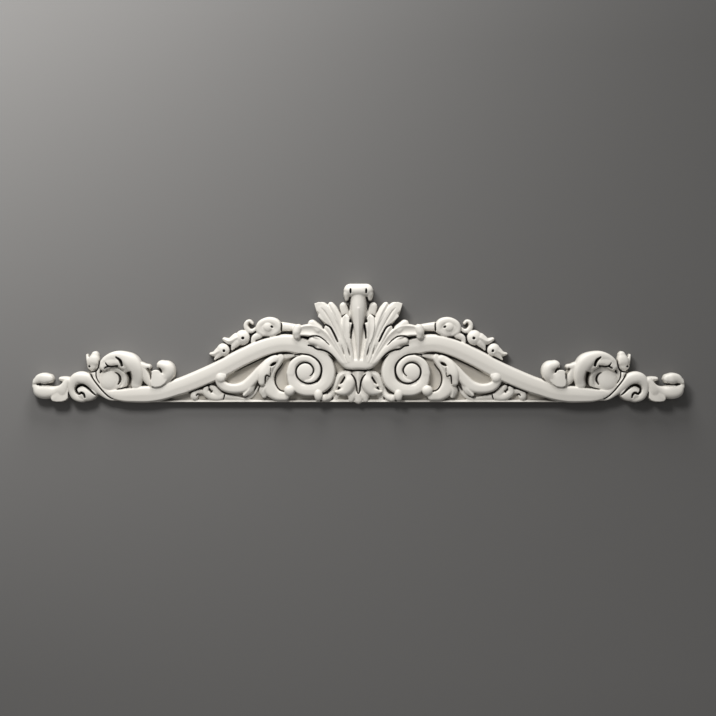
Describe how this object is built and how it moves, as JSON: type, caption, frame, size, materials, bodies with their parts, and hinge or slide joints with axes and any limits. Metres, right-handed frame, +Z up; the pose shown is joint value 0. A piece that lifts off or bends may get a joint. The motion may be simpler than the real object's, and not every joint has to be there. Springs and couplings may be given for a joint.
{
  "type": "overdoor scroll applique",
  "caption": "Moulded overdoor applique: a palmette between two volutes, with ramps running down to curled leaf ends, on a flat back.",
  "frame": {"origin": "on the flat back, on the centre line, 60 mm above the lower edge of the plate", "axes": "+X along the length to the right as seen from the front, +Y out of the flat back into the wall, +Z up"},
  "size_m": [1.198, 0.0411, 0.2185],
  "materials": {
    "painted_cast": "satin off-white primer over moulded polyurethane, slightly darker in the recesses"
  },
  "bodies": {
    "root": {"applique": "painted_cast"}
  },
  "joints": []
}
